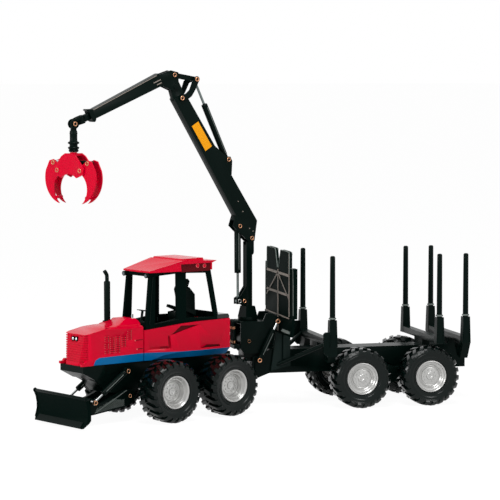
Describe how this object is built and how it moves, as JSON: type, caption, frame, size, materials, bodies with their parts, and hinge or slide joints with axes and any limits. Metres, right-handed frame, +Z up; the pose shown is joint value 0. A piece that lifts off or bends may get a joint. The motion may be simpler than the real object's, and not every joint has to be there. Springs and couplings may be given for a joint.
{
  "type": "toy forestry forwarder",
  "caption": "Toy log forwarder: two hinged units on wheels, open cab, log bay with stakes, folding grapple crane and front blade",
  "frame": {"origin": "bottom centre of the whole box, on the floor under the tyres", "axes": "+X forward along the rear unit, +Y to its left, +Z up; the front unit is turned 25.1 degrees to the left"},
  "size_m": [0.2872, 0.1196, 0.2128],
  "materials": {
    "black_paint": "near-black semi-gloss paint",
    "red_paint": "gloss red paint",
    "silver_plastic": "satin silver plastic",
    "tyre": "black flexible plastic",
    "steel": "bright steel rod",
    "black_plastic": "black plastic",
    "blue_paint": "gloss blue paint",
    "lamp": "small bright lamps"
  },
  "bodies": {
    "rear_unit": {"rear_frame": "black_paint", "headboard": "black_paint", "bunks": "black_paint", "stakes": "black_plastic", "rear_bogies": "black_plastic"},
    "front_unit": {"front_chassis": "black_paint", "hood": "red_paint", "cab_body": "red_paint", "cab_frame": "black_plastic", "cab_roof": "red_paint", "seat": "black_plastic", "dash_console": "black_plastic", "exhaust": "black_plastic", "front_bogies": "black_plastic", "headlamps": "lamp", "roof_lamps": "black_plastic", "rear_deck": "black_plastic", "skirt": "blue_paint", "cab_lining": "black_plastic"},
    "crane_base": {"crane_base": "black_paint", "hoses": "black_plastic"},
    "tilt_barrels": {"tilt_barrels": "black_paint"},
    "tilt_rods": {"tilt_rods": "steel"},
    "crane_pillar": {"crane_pillar": "black_paint"},
    "main_boom": {"main_boom": "black_paint"},
    "lift_barrel": {"lift_barrel": "black_paint"},
    "lift_rod": {"lift_rod": "steel"},
    "jib": {"jib": "black_paint"},
    "jib_extension": {"jib_extension": "black_paint"},
    "jib_rocker": {"jib_rocker": "black_paint"},
    "jib_link": {"jib_link": "black_paint"},
    "jib_barrel": {"jib_barrel": "black_paint"},
    "jib_rod": {"jib_rod": "steel"},
    "hanger": {"hanger": "black_paint"},
    "grapple": {"grapple_frame": "red_paint"},
    "claw_left": {"claw_left": "red_paint"},
    "claw_right": {"claw_right": "red_paint"},
    "grapple_barrel": {"grapple_barrel": "black_paint"},
    "grapple_rod": {"grapple_rod": "steel"},
    "blade": {"blade": "black_paint", "blade_frame": "black_paint"},
    "blade_barrels": {"blade_barrels": "black_paint"},
    "blade_rods": {"blade_rods": "steel"},
    "front_fore_left": {"front_fore_left_tyre": "tyre", "front_fore_left_rim": "silver_plastic"},
    "front_fore_right": {"front_fore_right_tyre": "tyre", "front_fore_right_rim": "silver_plastic"},
    "front_aft_left": {"front_aft_left_tyre": "tyre", "front_aft_left_rim": "silver_plastic"},
    "front_aft_right": {"front_aft_right_tyre": "tyre", "front_aft_right_rim": "silver_plastic"},
    "rear_fore_left": {"rear_fore_left_tyre": "tyre", "rear_fore_left_rim": "silver_plastic"},
    "rear_fore_right": {"rear_fore_right_tyre": "tyre", "rear_fore_right_rim": "silver_plastic"},
    "rear_aft_left": {"rear_aft_left_tyre": "tyre", "rear_aft_left_rim": "silver_plastic"},
    "rear_aft_right": {"rear_aft_right_tyre": "tyre", "rear_aft_right_rim": "silver_plastic"}
  },
  "joints": [
    {"name": "steer", "type": "hinge", "parent": "rear_unit", "child": "front_unit", "pos_m": [0.00638, -0.0233, 0.0224], "axis": [0, 0, 1], "range_deg": [-63, 13]},
    {"name": "crane_tilt", "type": "hinge", "parent": "rear_unit", "child": "crane_base", "pos_m": [0.00138, -0.0233, 0.042], "axis": [0, -1, 0], "range_deg": [-8, 8]},
    {"name": "crane_slew", "type": "hinge", "parent": "crane_base", "child": "crane_pillar", "pos_m": [0.00008, -0.0233, 0.0544], "axis": [0, 0, 1], "range_deg": [-200, 160]},
    {"name": "boom_lift", "type": "hinge", "parent": "crane_pillar", "child": "main_boom", "pos_m": [-0.00115, -0.02374, 0.1068], "axis": [0.342, -0.9397, 0], "range_deg": [-28, 15]},
    {"name": "jib_fold", "type": "hinge", "parent": "main_boom", "child": "jib", "pos_m": [0.05232, -0.00428, 0.2029], "axis": [-0.342, 0.9397, 0], "range_deg": [-60, 50]},
    {"name": "jib_reach", "type": "slide", "parent": "jib", "child": "jib_extension", "axis": [-0.8618, -0.3137, 0.3987], "range_m": [-0.022, 0.002]},
    {"name": "hanger_swing", "type": "hinge", "parent": "jib_extension", "child": "hanger", "pos_m": [0.11942, 0.02014, 0.1808], "axis": [0.342, -0.9397, 0], "range_deg": [-50, 50]},
    {"name": "rotator", "type": "hinge", "parent": "hanger", "child": "grapple", "pos_m": [0.11942, 0.02014, 0.1638], "axis": [0, 0, 1], "continuous": true},
    {"name": "claw_open", "type": "hinge", "parent": "grapple", "child": "claw_left", "pos_m": [0.11397, 0.02792, 0.153], "axis": [0.8192, 0.5736, 0], "range_deg": [-16, 36]},
    {"name": "claw_right", "type": "hinge", "parent": "grapple", "child": "claw_right", "pos_m": [0.12487, 0.01236, 0.153], "axis": [-0.8192, -0.5736, 0], "range_deg": [-16, 36]},
    {"name": "grapple_barrel", "type": "hinge", "parent": "claw_left", "child": "grapple_barrel", "pos_m": [0.11116, 0.03193, 0.1574], "axis": [-0.8192, -0.5736, 0], "range_deg": [-16, 36]},
    {"name": "grapple_rod", "type": "hinge", "parent": "claw_right", "child": "grapple_rod", "pos_m": [0.12768, 0.00834, 0.1574], "axis": [0.8192, 0.5736, 0], "range_deg": [-16, 36]},
    {"name": "blade_lift", "type": "hinge", "parent": "front_unit", "child": "blade", "pos_m": [0.0915, 0.01658, 0.016], "axis": [0.4242, -0.9056, 0], "range_deg": [-2, 15]},
    {"name": "tilt_barrels", "type": "hinge", "parent": "rear_unit", "child": "tilt_barrels", "pos_m": [-0.00462, -0.0233, 0.03], "axis": [0, -1, 0], "range_deg": [-6.12, 6.12]},
    {"name": "tilt_rods", "type": "slide", "parent": "tilt_barrels", "child": "tilt_rods", "axis": [-0.4399, 0, 0.8981], "range_m": [-0.00169, 0.00169]},
    {"name": "lift_barrel", "type": "hinge", "parent": "main_boom", "child": "lift_barrel", "pos_m": [0.00741, -0.02063, 0.1148], "axis": [0.342, -0.9397, 0], "range_deg": [-13.27, 24.33]},
    {"name": "lift_rod", "type": "slide", "parent": "lift_barrel", "child": "lift_rod", "axis": [-0.0039, -0.0014, -1], "range_m": [-0.00492, 0.00273]},
    {"name": "jib_rocker", "type": "hinge", "parent": "main_boom", "child": "jib_rocker", "pos_m": [0.04838, -0.00572, 0.1957], "axis": [-0.342, 0.9397, 0], "range_deg": [-32.23, 26.95]},
    {"name": "jib_link", "type": "hinge", "parent": "jib", "child": "jib_link", "pos_m": [0.05298, -0.00404, 0.21], "axis": [0.342, -0.9397, 0], "range_deg": [-37.42, 31.27]},
    {"name": "jib_barrel", "type": "hinge", "parent": "main_boom", "child": "jib_barrel", "pos_m": [0.01549, -0.01769, 0.157], "axis": [-0.342, 0.9397, 0], "range_deg": [-2.86, 2.46]},
    {"name": "jib_rod", "type": "slide", "parent": "jib_barrel", "child": "jib_rod", "axis": [0.406, 0.1478, 0.9018], "range_m": [-0.00851, 0.00713]},
    {"name": "blade_barrels", "type": "hinge", "parent": "front_unit", "child": "blade_barrels", "pos_m": [0.09512, 0.01827, 0.0318], "axis": [0.4242, -0.9056, 0], "range_deg": [-2.19, 13.2]},
    {"name": "blade_rods", "type": "slide", "parent": "blade_barrels", "child": "blade_rods", "axis": [0.7426, 0.3479, -0.5723], "range_m": [-0.0043, 0.00075]},
    {"name": "front_fore_left_spin", "type": "hinge", "parent": "front_unit", "child": "front_fore_left", "pos_m": [0.06418, 0.0347, 0.019], "axis": [-0.4242, 0.9056, 0], "continuous": true},
    {"name": "front_fore_right_spin", "type": "hinge", "parent": "front_unit", "child": "front_fore_right", "pos_m": [0.08794, -0.01601, 0.019], "axis": [-0.4242, 0.9056, 0], "continuous": true},
    {"name": "front_aft_left_spin", "type": "hinge", "parent": "front_unit", "child": "front_aft_left", "pos_m": [0.02298, 0.0154, 0.019], "axis": [-0.4242, 0.9056, 0], "continuous": true},
    {"name": "front_aft_right_spin", "type": "hinge", "parent": "front_unit", "child": "front_aft_right", "pos_m": [0.04673, -0.03531, 0.019], "axis": [-0.4242, 0.9056, 0], "continuous": true},
    {"name": "rear_fore_left_spin", "type": "hinge", "parent": "rear_unit", "child": "rear_fore_left", "pos_m": [-0.06587, 0.0047, 0.019], "axis": [0, 1, 0], "continuous": true},
    {"name": "rear_fore_right_spin", "type": "hinge", "parent": "rear_unit", "child": "rear_fore_right", "pos_m": [-0.06587, -0.0513, 0.019], "axis": [0, 1, 0], "continuous": true},
    {"name": "rear_aft_left_spin", "type": "hinge", "parent": "rear_unit", "child": "rear_aft_left", "pos_m": [-0.11137, 0.0047, 0.019], "axis": [0, 1, 0], "continuous": true},
    {"name": "rear_aft_right_spin", "type": "hinge", "parent": "rear_unit", "child": "rear_aft_right", "pos_m": [-0.11137, -0.0513, 0.019], "axis": [0, 1, 0], "continuous": true}
  ],
  "couplings": [
    {"joint": "claw_right", "follows": "claw_open", "ratio": 1},
    {"joint": "grapple_barrel", "follows": "claw_open", "ratio": 1},
    {"joint": "grapple_rod", "follows": "claw_open", "ratio": 1},
    {"joint": "tilt_barrels", "follows": "crane_tilt", "ratio": 0.7028},
    {"joint": "tilt_rods", "follows": "crane_tilt", "m_per_rad": -0.010651},
    {"joint": "lift_barrel", "follows": "boom_lift", "ratio": -0.8512},
    {"joint": "lift_rod", "follows": "boom_lift", "m_per_rad": 0.009649},
    {"joint": "jib_rocker", "follows": "jib_fold", "ratio": 0.5289},
    {"joint": "jib_link", "follows": "jib_fold", "ratio": 0.6153},
    {"joint": "jib_barrel", "follows": "jib_fold", "ratio": 0.0393},
    {"joint": "jib_rod", "follows": "jib_fold", "m_per_rad": 0.007935},
    {"joint": "blade_barrels", "follows": "blade_lift", "ratio": 0.8469},
    {"joint": "blade_rods", "follows": "blade_lift", "m_per_rad": -0.01567}
  ]
}
